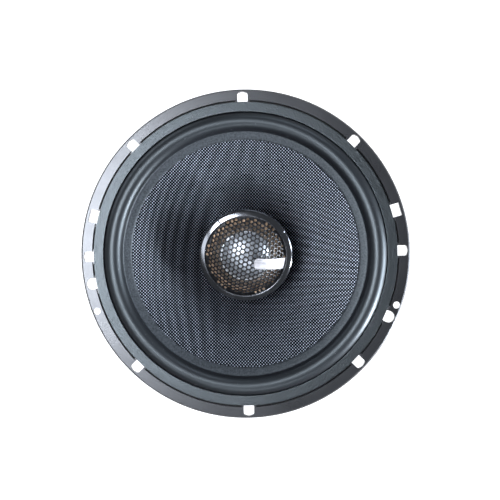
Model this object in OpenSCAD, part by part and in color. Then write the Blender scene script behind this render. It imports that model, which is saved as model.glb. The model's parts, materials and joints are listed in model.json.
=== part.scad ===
// Coaxial car speaker, 165 mm class, with a swivelling dome tweeter.
// Origin: centre of the flange's rear mounting plane. +Z: speaker axis, towards the listener.

/* [Basket] */
// Outside diameter of the flange
flange_d = 165; // [160:0.5:170]
// Thickness of the flange's raised outer ring
flange_t = 3; // [2.5:0.1:4]
// Thickness of the flange under the surround's lip
ledge_t = 1.2; // [1:0.1:1.6]
// Diameter of the basket wall that passes through the panel's cutout
cutout_d = 145.4; // [144:0.2:147]
// Thickness of the pressed basket wall
wall_t = 1.5; // [1.2:0.1:2]
// Width of each of the four spokes
spoke_w = 15; // [12:0.5:17]

/* [Mounting slots] */
// Width of the eight main slots
slot_w = 5.2; // [4.8:0.1:5.6]
// Radius to the centre of the eight main slots
slot_r = 78.1; // [78:0.1:78.3]
// Length of the eight main slots
slot_l = 6.6; // [6:0.1:7]
// Radius of the main slots' corners
slot_corner_r = 1.2; // [0.5:0.1:2]
// Diameter of the two small holes
small_hole_d = 3.6; // [3:0.1:4]

/* [Surround and cone] */
// Radius to the middle of the rubber roll
roll_r = 66.6; // [66.2:0.1:66.8]
// Radius of the rubber roll's section
roll_section_r = 4.7; // [4.4:0.1:4.8]
// Thickness of the gasket in front of the surround's lip
gasket_t = 2; // [1.6:0.1:4]
// Depth of the woven cone
cone_depth = 27.6; // [26:0.2:29]

/* [Motor] */
// Diameter of the voice coil's former, inside
coil_d = 30; // [30:0.1:30.2]
// Height of the woofer's winding
winding_h = 12; // [10:0.5:13]
// Diameter of the ferrite ring
magnet_d = 90; // [86:1:96]
// Thickness of the ferrite ring
magnet_t = 15; // [12:1:15]
// Thickness of the top plate and of the back plate
plate_t = 5; // [5:0.5:6]

/* [Tweeter] */
// Outside diameter of the tweeter's bezel
bezel_d = 47; // [46:0.5:48]
// Diameter of the opening that shows the grille
grille_d = 40.5; // [40:0.5:41]
// Diameter of the tweeter's dome
dome_d = 25; // [24.8:0.1:25.2]
// Tilt of the tweeter as modelled, facing down
rest_tilt = 13; // [0:1:15]

/* [Hidden] */
$fn = 96;
// Overrun of a cutting shape past the surface that it cuts
cut = 1;

// Basket
flange_r = flange_d / 2;
flange_bevel = 0.7;
step_r = 77.1;
wall_r = cutout_d / 2;
shelf_z = -10;
shelf_r = 66;
landing_z = -30.5;
landing_r = 49;
// Extra radius of the slanted wall's outside, which makes it as thick as the rest
slant_t = 0.9;
cup_wall_r = 38.7;
motor_z = -38;
window_inner_r = 50.5;
window_outer_r = 64.5;
// Half of the angle between neighbouring spokes
spoke_turn = 45;
rib_w = 4;
rib_h = 1.2;

// Height of the slight arch at each end of a main slot
slot_crown = 0.35;
// Notches and slots between the main slots, by angle from +X
square_notch_angles = [15, 165];
square_notch_w = 6.5;
square_notch_l = 6;
round_slot_angles = [-25, 190];
round_slot_w = 5.8;
small_hole_pos = [75.2, -27.4];

// Rubber, gasket and cone
rubber_t = 0.6;
lip_outer_r = 75.9;
gasket_z = ledge_t + rubber_t;
gasket_bevel = 0.3;
roll_z = ledge_t + rubber_t / 2;
roll_outer_r = roll_r + roll_section_r;
inner_lip_r = 57.4;
cone_t = 0.9;
cone_edge_r = 61.4;
cone_edge_z = 0.6;
cone_curve = 0.7;
neck_steps = 14;

// Woofer coil, motor and spider
former_r = coil_d / 2;
former_t = 0.25;
former_top_z = -24.5;
winding_t = 0.75;
top_plate_r = 42.5;
gap_r = 16.6;
pole_r = former_r - 0.4;
pole_top_z = motor_z + 1;
top_plate_z = motor_z - plate_t;
magnet_z = top_plate_z - magnet_t;
back_z = magnet_z - plate_t;
magnet_hole_r = 22;
plate_bevel = 0.8;
winding_z = (motor_z + top_plate_z - winding_h) / 2;
neck_r = former_r + former_t;
spider_t = 0.5;
spider_z = landing_z + spider_t / 2;
spider_wave_h = 1.1;
spider_wave_from = 18;
spider_wave_to = 36.9;
spider_waves = 4;
spider_edge_r = 45.5;
rivet_circle_r = 30;
rivet_r = 1.8;
rivet_depth = 4;
rivet_head_h = 1.1;

// Post and its fastening
foot_r = 11;
foot_t = 2.5;
stem_r = 6.5;
stem_top_z = -16;
shank_r = 5;
post_bore_r = 2.6;
recess_r = 10;
washer_t = 0.8;
washer_r = 8.4;
nut_t = 1.8;
nut_af = 13;
groove_w = 4;
groove_depth = 2.6;
shank_low_z = magnet_z - washer_t - nut_t;

// Swivel
pivot_z = -3;
friction_t = 0.5;
friction_r = 6.2;
// Play between faces and between round parts that turn on each other
face_play = 0.02;
turn_play = 0.05;
yoke_z = stem_top_z + friction_t + face_play;
yoke_base_t = 2.5;
yoke_disc_r = 8;
yoke_w = 8;
arm_x = 18.8;
arm_t = 1.8;
arm_chamfer = 3.5;
lug_r = 2.2;
pin_r = 0.9;
pin_inner_x = 16;
pin_head_t = 0.4;
swivel_rivet_r = 3.5;
swivel_bore_r = 2.2;
swivel_rivet_l = 7;
swivel_head_r = 5.4;
swivel_head_t = 0.8;

// Tweeter head, in its own frame: origin on the tilt pins, +Z along the tweeter's axis
head_cup_r = 18.5;
head_cup_inner_r = 15.4;
head_cup_edge_z = -3;
head_floor_r = 13;
head_floor_z = -7.5;
head_floor_t = 1.5;
back_chamber_r = 12.6;
lead_hole_r = 3.7;
faceplate_z = 2.5;
faceplate_t = 1.5;
faceplate_r = 21.6;
faceplate_inner_r = 13.4;
face_z = faceplate_z + faceplate_t;
bezel_r = bezel_d / 2;
bezel_front_z = 6;
bezel_skirt_z = 1.2;
bezel_inner_r = grille_d / 2;
grille_t = 0.6;
grille_sphere_r = 26;
grille_edge_r = 20.2;
// Height of the grille sphere's centre
grille_centre_z = face_z - sqrt(pow(grille_sphere_r, 2) - pow(grille_edge_r, 2));
dome_r = dome_d / 2;
dome_z = 4.2;
dome_h = 4.4;
dome_t = 0.3;
dome_sphere_r = (dome_r * dome_r + dome_h * dome_h) / (2 * dome_h);
dome_roll_r = 1.2;
dome_roll_t = 0.25;
dome_roll_z = face_z + 0.3;
dome_lip_r = 16.4;
magnet_cup_r = 15.2;
magnet_cup_z = -4.5;
magnet_cup_floor_t = 1.5;
magnet_cup_bore_r = 13.3;
tweeter_magnet_r = 11.5;
pole_plate_r = 12.05;
pole_plate_t = 2.2;
coil_inner_r = 12.3;
coil_outer_r = 12.8;
coil_low_z = -0.5;
felt_r = 8;
felt_t = 1.2;
badge_start = [4, -2];
badge_turn = -7.3;
badge_l = 18;
badge_w = 5.4;
badge_t = 0.7;
badge_corner_r = 1.8;
badge_reach_r = 19.6;

// Terminals, on the spoke between +X and -Y
terminal_turn = -45;
board_r = 61.5;
board_t = 1.6;
board_w = 26;
board_top_z = -19;
board_h = 15;
tab_w = 8;
tab_top_z = -17.4;
tab_low_z = -28.8;
board_rivet_z = -26.8;
terminal_rivet_z = -29.5;
small_rivet_r = 1;
small_head_r = 1.8;
small_head_h = 0.7;
blade_x = board_r + board_t;
blade_pitch = 13;
blade_t = 0.8;
blade_top_z = -25.8;
blade_l = 15.5;
blade_tip = 1.2;
positive_blade_w = 6.3;
negative_blade_w = 4.8;
cap_r = 4;
cap_l = 15;
cap_x = blade_x + cap_r;
cap_z = -22.4;
cap_lead_r = 0.4;
cap_lead_reach = 1.8;
tinsel_r = 0.7;
tinsel_side = 10.5;
wire_r = 0.55;
wire_side = 0.65;
anchor_r = 1.4;
anchor_gap = 0.15;

// Routes of the flexible wires: [distance out from the axis, height] in an upright plane
feed_route = [
    [0, -17], [0, -28], [0, -40], [0, -52], [0, -58.4], [0.5, -60.4], [2, -61.8], [4.4, -62.1], [12, -62.1],
    [24, -62.1], [36, -62.1], [43, -61.9], [45.6, -60.4], [46.2, -57], [46.2, -50], [46.3, -43], [47.8, -38],
    [51.5, -34.4], [56.5, -32], [61.3, -31.1]
];
head_route = [[0, -16.5], [0, -14], [0, -11], [0, -8.8]];
tinsel_route = [
    [17.5, -23.9], [20.5, -25.6], [25, -26], [30, -24.8], [35, -23.2], [40, -22.2], [45, -22], [50, -22.6],
    [56, -23.3], [61.3, -23.3]
];

// Height of the cone's front: steep at the neck, flatter towards the edge
function cone_z(r) =
    cone_edge_z - cone_depth * (1 - pow((r - former_r) / (cone_edge_r - former_r), cone_curve));
function arc(centre, r, from, to, steps) =
    [for (i = [0 : steps]) let (a = from + (to - from) * i / steps) centre + r * [cos(a), sin(a)]];
function reversed(list) = [for (i = [len(list) - 1 : -1 : 0]) list[i]];
function lifted(points, by) = [for (p = points) [p[0], p[1] + by]];

cone_front = concat(
    [for (i = [0 : neck_steps])
        let (r = neck_r + (inner_lip_r - neck_r) * pow(i / neck_steps, 1.6)) [r, cone_z(r)]],
    [[cone_edge_r, cone_edge_z]]
);
spider_middle = concat(
    [[neck_r, spider_z]],
    [for (i = [0 : 54])
        let (t = i / 54, r = spider_wave_from + (spider_wave_to - spider_wave_from) * t)
        [r, spider_z + spider_wave_h * sin(360 * spider_waves * t)]],
    [[spider_edge_r, spider_z]]
);

// Centre line of a wire as a smooth curve through its route
function between(p0, p1, p2, p3, t) =
    0.5 * (2 * p1 + (p2 - p0) * t + (2 * p0 - 5 * p1 + 4 * p2 - p3) * t * t
        + (3 * p1 - p0 - 3 * p2 + p3) * t * t * t);
function smooth(points, parts) = let (last = len(points) - 1) concat(
    [for (i = [0 : last - 1], k = [0 : parts - 1])
        between(points[max(i - 1, 0)], points[i], points[i + 1], points[min(i + 2, last)], k / parts)],
    [points[last]]
);
function heading(points, i) =
    let (a = points[max(i - 1, 0)], b = points[min(i + 1, len(points) - 1)]) (b - a) / norm(b - a);

// A round wire along a route in the upright plane y = side
module wire(points, r, side, sides = 8) {
    last = len(points) - 1;
    polyhedron(
        points = [
            for (i = [0 : last], k = [0 : sides - 1])
                let (d = heading(points, i), a = 360 * k / sides, out = r * cos(a))
                [points[i][0] - out * d[1], side + r * sin(a), points[i][1] + out * d[0]]
        ],
        faces = concat(
            [[for (k = [0 : sides - 1]) k]],
            [for (i = [0 : last - 1], k = [0 : sides - 1]) let (m = (k + 1) % sides)
                [i * sides + k, (i + 1) * sides + k, (i + 1) * sides + m, i * sides + m]],
            [[for (k = [sides - 1 : -1 : 0]) last * sides + k]]
        )
    );
}

// A flat ring between two heights
module ring(inner, outer, low, high) {
    rotate_extrude()
        polygon([[inner, low], [outer, low], [outer, high], [inner, high]]);
}

// A disc or ring with bevelled outer edges
module plate(inner, outer, low, high, bevel) {
    rotate_extrude()
        polygon([
            [inner, low], [outer - bevel, low], [outer, low + bevel], [outer, high - bevel],
            [outer - bevel, high], [inner, high]
        ]);
}

// A cylinder along X
module rod(from, to, r) {
    translate([from, 0, 0]) rotate([0, 90, 0]) cylinder(r = r, h = to - from);
}

// A round-ended slot that runs outwards along +X, as a cutting shape
module slot_cut(width) {
    half = (slot_l - width) / 2;
    translate([slot_r, 0, -cut])
        linear_extrude(flange_t + 2 * cut) {
            for (side = [-1, 1]) translate([side * half, 0]) circle(d = width);
            square([2 * half, width], center = true);
        }
}

// Cuts the corners of a main slot, so that its ends are only slightly crowned
module slot_corners_cut() {
    end_x = slot_l / 2 - slot_crown - slot_corner_r;
    side_y = slot_w / 2 - slot_corner_r;
    translate([slot_r, 0, -cut])
        linear_extrude(flange_t + 2 * cut) {
            for (x = [-end_x, end_x], y = [-side_y, side_y]) translate([x, y]) circle(r = slot_corner_r);
            square([2 * (end_x + slot_corner_r), 2 * side_y], center = true);
            square([2 * end_x, slot_w], center = true);
        }
}

module square_notch_cut() {
    translate([slot_r - slot_l / 2, -square_notch_w / 2, -cut])
        cube([square_notch_l, square_notch_w, flange_t + 2 * cut]);
}

module basket_section() {
    polygon([
        [flange_r - flange_bevel, flange_t], [step_r, flange_t], [step_r, ledge_t],
        [wall_r - wall_t, ledge_t], [wall_r - wall_t, shelf_z + wall_t], [shelf_r, shelf_z + wall_t],
        [landing_r, landing_z],
        [cup_wall_r - wall_t, landing_z], [cup_wall_r - wall_t, motor_z + wall_t],
        [gap_r + wall_t, motor_z + wall_t], [gap_r + wall_t, motor_z], [cup_wall_r, motor_z],
        [cup_wall_r, landing_z - wall_t], [landing_r + slant_t, landing_z - wall_t],
        [shelf_r + slant_t, shelf_z], [wall_r, shelf_z], [wall_r, 0], [flange_r, 0],
        [flange_r, flange_t - flange_bevel]
    ]);
}

// The space between the spokes, as a cutting shape
module windows() {
    difference() {
        ring(window_inner_r, window_outer_r, landing_z - 2 * wall_t, shelf_z + 2 * wall_t);
        for (i = [0 : 3])
            rotate(spoke_turn + 90 * i)
                translate([0, -spoke_w / 2, landing_z - 3 * wall_t]) cube([flange_r, spoke_w, flange_r]);
    }
}

// A stiffening rib along the outside of a spoke
module spoke_rib() {
    translate([0, rib_w / 2, 0])
        rotate([90, 0, 0])
            linear_extrude(rib_w)
                polygon([
                    [landing_r + wall_t, landing_z], [landing_r + wall_t + rib_h, landing_z],
                    [shelf_r + rib_h, shelf_z - wall_t], [shelf_r, shelf_z]
                ]);
}

// The bent tab that carries the terminal board
module board_tab() {
    translate([board_r - wall_t, -tab_w / 2, tab_low_z]) cube([wall_t, tab_w, tab_top_z - tab_low_z]);
}

module at_basket_rivets() {
    for (i = [0 : 3]) rotate(90 * i) translate([rivet_circle_r, 0, 0]) children();
}

module at_terminal_rivet(side) {
    translate([0, side * blade_pitch / 2, terminal_rivet_z]) children();
}

// The pressed frame: flange, wall, spokes, landing for the spider and cup for the motor
module basket() {
    color("#1d1e20") difference() {
        union() {
            difference() {
                rotate_extrude() basket_section();
                windows();
            }
            for (i = [0 : 3]) rotate(spoke_turn + 90 * i) spoke_rib();
            rotate(terminal_turn) board_tab();
        }
        for (i = [0 : 7])
            rotate(45 * i) {
                slot_cut(slot_w);
                slot_corners_cut();
            }
        for (a = round_slot_angles) rotate(a) slot_cut(round_slot_w);
        for (a = square_notch_angles) rotate(a) square_notch_cut();
        for (side = [-1, 1])
            translate([side * small_hole_pos[0], small_hole_pos[1], -cut])
                cylinder(d = small_hole_d, h = flange_t + 2 * cut);
        at_basket_rivets() translate([0, 0, motor_z - cut]) cylinder(r = rivet_r, h = wall_t + 2 * cut);
        rotate(terminal_turn)
            translate([0, 0, board_rivet_z]) rod(board_r - wall_t - cut, board_r + cut, small_rivet_r);
    }
}

module front_gasket() {
    color("#4a4c50")
        plate(roll_outer_r + face_play, lip_outer_r, gasket_z, gasket_z + gasket_t, gasket_bevel);
}

// Half-roll ring with an outer lip on the basket's ledge and an inner lip on the cone
module surround() {
    middle = [roll_r, roll_z];
    // Angle at which the roll leaves the lip's top face
    lip_angle = asin((gasket_z - roll_z) / roll_section_r);
    color("#2b2c2e") rotate_extrude()
        polygon(concat(
            [[lip_outer_r, ledge_t], [lip_outer_r, gasket_z]],
            arc(middle, roll_section_r, lip_angle, 180 - lip_angle, 16),
            [[cone_edge_r, cone_edge_z + rubber_t], [inner_lip_r, cone_z(inner_lip_r) + rubber_t]],
            [[inner_lip_r, cone_z(inner_lip_r)], [cone_edge_r, cone_edge_z]],
            arc(middle, roll_section_r - rubber_t, 180, 0, 16),
            [[roll_r + roll_section_r - rubber_t, ledge_t]]
        ));
}

// Corrugated cloth disc between the former and the basket's landing
module spider() {
    color("#c9a25a") rotate_extrude()
        polygon(concat(lifted(spider_middle, -spider_t / 2), reversed(lifted(spider_middle, spider_t / 2))));
}

module top_plate() {
    color("#8f9296") difference() {
        plate(gap_r, top_plate_r, top_plate_z, motor_z, plate_bevel);
        at_basket_rivets()
            translate([0, 0, motor_z - rivet_depth]) cylinder(r = rivet_r, h = rivet_depth + cut);
    }
}

module ferrite_magnet() {
    color("#3a3b3d") plate(magnet_hole_r, magnet_d / 2, magnet_z, top_plate_z, plate_bevel);
}

// Back plate with a recess for the post's nut and a groove for the tweeter's wires
module back_plate() {
    color("#8f9296") difference() {
        plate(recess_r, top_plate_r, back_z, magnet_z, plate_bevel);
        rotate(terminal_turn)
            translate([0, -groove_w / 2, back_z - cut])
                cube([top_plate_r + cut, groove_w, groove_depth + cut]);
    }
}

module pole_piece() {
    color("#a4a7aa") plate(shank_r, pole_r, magnet_z, pole_top_z, plate_bevel);
}

// Four rivets that hold the basket on the top plate
module basket_rivets() {
    color("#b9bcc0") at_basket_rivets() {
        translate([0, 0, motor_z - rivet_depth]) cylinder(r = rivet_r, h = rivet_depth + wall_t);
        translate([0, 0, motor_z + wall_t]) cylinder(r1 = 2 * rivet_r, r2 = 1.2 * rivet_r, h = rivet_head_h);
    }
}

module terminal_board() {
    color("#5b3a1e") rotate(terminal_turn) difference() {
        translate([board_r, -board_w / 2, board_top_z - board_h]) cube([board_t, board_w, board_h]);
        translate([0, 0, board_rivet_z]) rod(board_r - cut, blade_x + cut, small_rivet_r);
        for (side = [-1, 1]) at_terminal_rivet(side) rod(board_r - cut, blade_x + cut, small_rivet_r);
    }
}

// A small rivet along X with a head at each end
module through_rivet(from, to) {
    rod(from, to, small_rivet_r);
    rod(from - small_head_h, from, small_head_r);
    translate([to, 0, 0])
        rotate([0, 90, 0]) cylinder(r1 = small_head_r, r2 = small_rivet_r, h = small_head_h);
}

module board_rivet() {
    color("#b9bcc0") rotate(terminal_turn)
        translate([0, 0, board_rivet_z]) through_rivet(board_r - wall_t, blade_x);
}

module terminal_rivets() {
    color("#c9b37a") rotate(terminal_turn)
        for (side = [-1, 1]) at_terminal_rivet(side) through_rivet(board_r, blade_x + blade_t);
}

// A push-on blade that points backwards, with a tapered tip and a detent hole
module blade(width, side) {
    rotate(terminal_turn) difference() {
        translate([blade_x, side * blade_pitch / 2, blade_top_z])
            rotate([0, 90, 0])
                linear_extrude(blade_t)
                    polygon([
                        [0, -width / 2], [blade_l - blade_tip, -width / 2], [blade_l, blade_tip - width / 2],
                        [blade_l, width / 2 - blade_tip], [blade_l - blade_tip, width / 2], [0, width / 2]
                    ]);
        at_terminal_rivet(side) rod(blade_x - cut, blade_x + blade_t + cut, small_rivet_r);
        translate([0, side * blade_pitch / 2, blade_top_z - blade_l + 3 * blade_tip])
            rod(blade_x - cut, blade_x + blade_t + cut, blade_t);
    }
}

module positive_terminal() {
    color("#d8d3c0") blade(positive_blade_w, 1);
}

module negative_terminal() {
    color("#d8d3c0") blade(negative_blade_w, -1);
}

// The tweeter's series capacitor, on the outside of the terminal board
module crossover_capacitor() {
    color("#22406e") rotate(terminal_turn)
        translate([cap_x, 0, cap_z])
            rotate([90, 0, 0])
                translate([0, 0, -cap_l / 2]) plate(0, cap_r, 0, cap_l, cap_r / 8);
}

module capacitor_leads() {
    color("#c8cacc") rotate(terminal_turn)
        for (side = [-1, 1])
            translate([0, side * cap_l / 2, cap_z]) {
                translate([cap_x, 0, 0])
                    rotate([-90 * side, 0, 0]) cylinder(r = cap_lead_r, h = cap_lead_reach);
                translate([cap_x, side * cap_lead_reach, 0]) sphere(r = cap_lead_r);
                translate([0, side * cap_lead_reach, 0]) rod(blade_x, cap_x, cap_lead_r);
            }
}

// Hollow post: foot on the pole piece, threaded shank through its bore
module tweeter_post() {
    color("#18191a") rotate_extrude()
        polygon([
            [post_bore_r, shank_low_z], [shank_r, shank_low_z], [shank_r, pole_top_z], [foot_r, pole_top_z],
            [foot_r, pole_top_z + foot_t / 2], [stem_r, pole_top_z + foot_t], [stem_r, stem_top_z],
            [swivel_rivet_r, stem_top_z], [swivel_rivet_r, stem_top_z - swivel_rivet_l],
            [post_bore_r, stem_top_z - swivel_rivet_l]
        ]);
}

module post_washer() {
    color("#b9bcc0") ring(shank_r, washer_r, magnet_z - washer_t, magnet_z);
}

module post_nut() {
    color("#b9bcc0") difference() {
        translate([0, 0, shank_low_z]) cylinder(d = nut_af / cos(30), h = nut_t, $fn = 6);
        translate([0, 0, shank_low_z - cut]) cylinder(r = shank_r, h = nut_t + 2 * cut);
    }
}

module friction_washer() {
    color("#e2e0d8") ring(swivel_rivet_r, friction_r, stem_top_z, stem_top_z + friction_t);
}

// Hollow rivet that holds the yoke on the post and lets it turn
module swivel_rivet() {
    head_z = yoke_z + yoke_base_t + face_play;
    color("#b08d57") rotate_extrude()
        polygon([
            [swivel_bore_r, stem_top_z - swivel_rivet_l], [swivel_rivet_r, stem_top_z - swivel_rivet_l],
            [swivel_rivet_r, head_z], [swivel_head_r, head_z], [swivel_head_r, head_z + swivel_head_t / 2],
            [swivel_rivet_r, head_z + swivel_head_t], [swivel_bore_r, head_z + swivel_head_t]
        ]);
}

module tweeter_feed_wires() {
    color("#b3231c") rotate(terminal_turn)
        for (side = [-1, 1]) wire(smooth(feed_route, 2), wire_r, side * wire_side);
}

module tinsel_lead(side) {
    color("#b87333") rotate(terminal_turn) wire(smooth(tinsel_route, 3), tinsel_r, side * tinsel_side);
}

module tinsel_lead_positive() {
    tinsel_lead(1);
}

module tinsel_lead_negative() {
    tinsel_lead(-1);
}

module cone() {
    color("#5d6670") rotate_extrude()
        polygon(concat(lifted(cone_front, -cone_t), reversed(cone_front)));
}

module voice_coil_former() {
    color("#c8a96a") ring(former_r, neck_r, winding_z, former_top_z);
}

module voice_coil_winding() {
    color("#b5682d") ring(neck_r, neck_r + winding_t, winding_z, winding_z + winding_h);
}

// Solder pads behind the cone where the tinsel leads start
module lead_anchors() {
    start = tinsel_route[0];
    color("#b9bcc0") rotate(terminal_turn)
        for (side = [-1, 1])
            translate([start[0] - anchor_r - anchor_gap, side * tinsel_side, start[1]]) sphere(r = anchor_r);
}

// Fork that turns on the post and carries the tweeter's tilt pins
module swivel_yoke() {
    outer_x = arm_x + arm_t;
    color("#1b1c1d") difference() {
        union() {
            intersection() {
                rotate([90, 0, 0])
                    linear_extrude(2 * yoke_w, center = true)
                        polygon([
                            [-outer_x, pivot_z + yoke_w], [-outer_x, yoke_z + arm_chamfer],
                            [arm_chamfer - outer_x, yoke_z], [outer_x - arm_chamfer, yoke_z],
                            [outer_x, yoke_z + arm_chamfer], [outer_x, pivot_z + yoke_w],
                            [arm_x, pivot_z + yoke_w], [arm_x, yoke_z + yoke_base_t + arm_t],
                            [arm_x - arm_t, yoke_z + yoke_base_t], [arm_t - arm_x, yoke_z + yoke_base_t],
                            [-arm_x, yoke_z + yoke_base_t + arm_t], [-arm_x, pivot_z + yoke_w]
                        ]);
                rotate([90, 0, 90])
                    linear_extrude(3 * outer_x, center = true) {
                        polygon([
                            [-yoke_w / 2, yoke_z - cut], [yoke_w / 2, yoke_z - cut],
                            [yoke_w / 2, pivot_z - yoke_w], [lug_r, pivot_z], [-lug_r, pivot_z],
                            [-yoke_w / 2, pivot_z - yoke_w]
                        ]);
                        translate([0, pivot_z]) circle(r = lug_r);
                    }
            }
            translate([0, 0, yoke_z]) cylinder(r = yoke_disc_r, h = yoke_base_t);
        }
        translate([0, 0, yoke_z - cut]) cylinder(r = swivel_rivet_r + turn_play, h = yoke_base_t + 2 * cut);
        translate([0, 0, pivot_z]) rod(-outer_x - cut, outer_x + cut, pin_r);
    }
}

module tilt_pins() {
    outer_x = arm_x + arm_t;
    color("#c9ccd0") translate([0, 0, pivot_z])
        for (side = [0, 1])
            mirror([side, 0, 0]) {
                rod(pin_inner_x, outer_x, pin_r);
                rod(outer_x, outer_x + pin_head_t, 1.6 * pin_r);
            }
}

module tweeter_leads() {
    color("#b3231c") for (side = [-1, 1]) wire(head_route, wire_r, side * wire_side);
}

// Puts a piece from the tweeter head's own frame into place
module in_head() {
    translate([0, 0, pivot_z]) rotate([rest_tilt, 0, 0]) children();
}

module tweeter_cup() {
    color("#191a1b") in_head() difference() {
        rotate_extrude()
            polygon([
                [lead_hole_r, head_floor_z], [head_floor_r, head_floor_z], [head_cup_r, head_cup_edge_z],
                [head_cup_r, faceplate_z], [head_cup_inner_r, faceplate_z], [head_cup_inner_r, magnet_cup_z],
                [back_chamber_r, magnet_cup_z], [back_chamber_r, head_floor_z + head_floor_t],
                [lead_hole_r, head_floor_z + head_floor_t]
            ]);
        rod(-head_cup_r - cut, head_cup_r + cut, pin_r + turn_play);
    }
}

module tweeter_felt() {
    color("#cfcac0") in_head() translate([0, 0, pole_plate_t]) cylinder(r = felt_r, h = felt_t);
}

module tweeter_magnet_cup() {
    color("#9a9da1") in_head() rotate_extrude()
        polygon([
            [0, magnet_cup_z], [magnet_cup_r, magnet_cup_z], [magnet_cup_r, faceplate_z],
            [magnet_cup_bore_r, faceplate_z], [magnet_cup_bore_r, magnet_cup_z + magnet_cup_floor_t],
            [0, magnet_cup_z + magnet_cup_floor_t]
        ]);
}

module tweeter_magnet() {
    floor_z = magnet_cup_z + magnet_cup_floor_t;
    color("#b4b6b8") in_head() translate([0, 0, floor_z]) cylinder(r = tweeter_magnet_r, h = -floor_z);
}

module tweeter_pole_plate() {
    color("#9a9da1") in_head() cylinder(r = pole_plate_r, h = pole_plate_t);
}

module tweeter_faceplate() {
    color("#9c7b52") in_head() ring(faceplate_inner_r, faceplate_r, faceplate_z, face_z);
}

// Small half-roll between the tweeter's dome and its faceplate
module tweeter_dome_surround() {
    middle = [dome_r + 0.2 + dome_roll_r, dome_roll_z];
    color("#6d6f73") in_head() rotate_extrude()
        polygon(concat(
            [[dome_lip_r, face_z], [dome_lip_r, dome_roll_z]],
            arc(middle, dome_roll_r, 0, 168, 10),
            [[dome_r, dome_z + dome_roll_t], [dome_r, dome_z]],
            arc(middle, dome_roll_r - dome_roll_t, 180, 0, 10),
            [[middle[0] + dome_roll_r - dome_roll_t, face_z]]
        ));
}

module tweeter_bezel() {
    color("#232426") in_head() rotate_extrude()
        polygon([
            [faceplate_r + face_play, bezel_skirt_z], [bezel_r - 0.5, bezel_skirt_z],
            [bezel_r, bezel_skirt_z + 0.5], [bezel_r, bezel_front_z - 1.7],
            [bezel_r - 0.2, bezel_front_z - 1.15], [bezel_r - 0.75, bezel_front_z - 0.8],
            [bezel_inner_r + 0.5, bezel_front_z], [bezel_inner_r + 0.1, bezel_front_z - 0.1],
            [bezel_inner_r, bezel_front_z - 0.5],
            [bezel_inner_r, face_z + grille_t], [faceplate_r + face_play, face_z + grille_t]
        ]);
}

// Part of a sphere round the grille's centre, between two radii
module grille_shell(low_r, high_r) {
    rotate_extrude()
        intersection() {
            translate([0, grille_centre_z]) difference() {
                circle(r = high_r);
                circle(r = low_r);
            }
            translate([0, face_z]) square([faceplate_r, grille_sphere_r]);
        }
}

// Domed sheet with a flat rim under the bezel; the real sheet is perforated all over
module tweeter_grille() {
    color("#55585c") in_head() union() {
        grille_shell(grille_sphere_r - grille_t, grille_sphere_r);
        ring(grille_edge_r - 2 * grille_t, faceplate_r, face_z, face_z + grille_t);
    }
}

// Blank plate that follows the grille's dome
module tweeter_badge() {
    color("#d4d6d9") in_head() intersection() {
        grille_shell(grille_sphere_r, grille_sphere_r + badge_t);
        translate(badge_start) rotate(badge_turn) linear_extrude(grille_sphere_r) {
            for (side = [-1, 1])
                translate([badge_corner_r, side * (badge_w / 2 - badge_corner_r)])
                    circle(r = badge_corner_r);
            translate([0, badge_corner_r - badge_w / 2]) square([badge_l, badge_w - 2 * badge_corner_r]);
            translate([badge_corner_r, -badge_w / 2]) square([badge_l - badge_corner_r, badge_w]);
        }
        cylinder(r = badge_reach_r, h = grille_sphere_r);
    }
}

module tweeter_dome() {
    color("#b9bbbf") in_head() rotate_extrude()
        intersection() {
            translate([0, dome_z + dome_h - dome_sphere_r]) difference() {
                circle(r = dome_sphere_r);
                circle(r = dome_sphere_r - dome_t);
            }
            translate([0, dome_z]) square([dome_sphere_r, dome_h]);
        }
}

module tweeter_coil() {
    color("#b5682d") in_head() ring(coil_inner_r, coil_outer_r, coil_low_z, dome_z);
}

basket();
front_gasket();
surround();
spider();
top_plate();
ferrite_magnet();
back_plate();
pole_piece();
basket_rivets();
terminal_board();
board_rivet();
positive_terminal();
negative_terminal();
terminal_rivets();
crossover_capacitor();
capacitor_leads();
tweeter_post();
post_washer();
post_nut();
friction_washer();
swivel_rivet();
tweeter_feed_wires();
tinsel_lead_positive();
tinsel_lead_negative();
cone();
voice_coil_former();
voice_coil_winding();
lead_anchors();
swivel_yoke();
tilt_pins();
tweeter_leads();
tweeter_cup();
tweeter_felt();
tweeter_magnet_cup();
tweeter_magnet();
tweeter_pole_plate();
tweeter_faceplate();
tweeter_dome_surround();
tweeter_bezel();
tweeter_grille();
tweeter_badge();
tweeter_dome();
tweeter_coil();
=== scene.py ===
"""Looks of the coaxial car speaker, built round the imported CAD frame.

The speaker's sizes are in millimetres, and MM turns them into Blender's metres. The stage, the lights and
the camera are in metres.
"""

import json
import math

import bmesh
import bpy
from mathutils import Matrix, Vector, geometry


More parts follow.
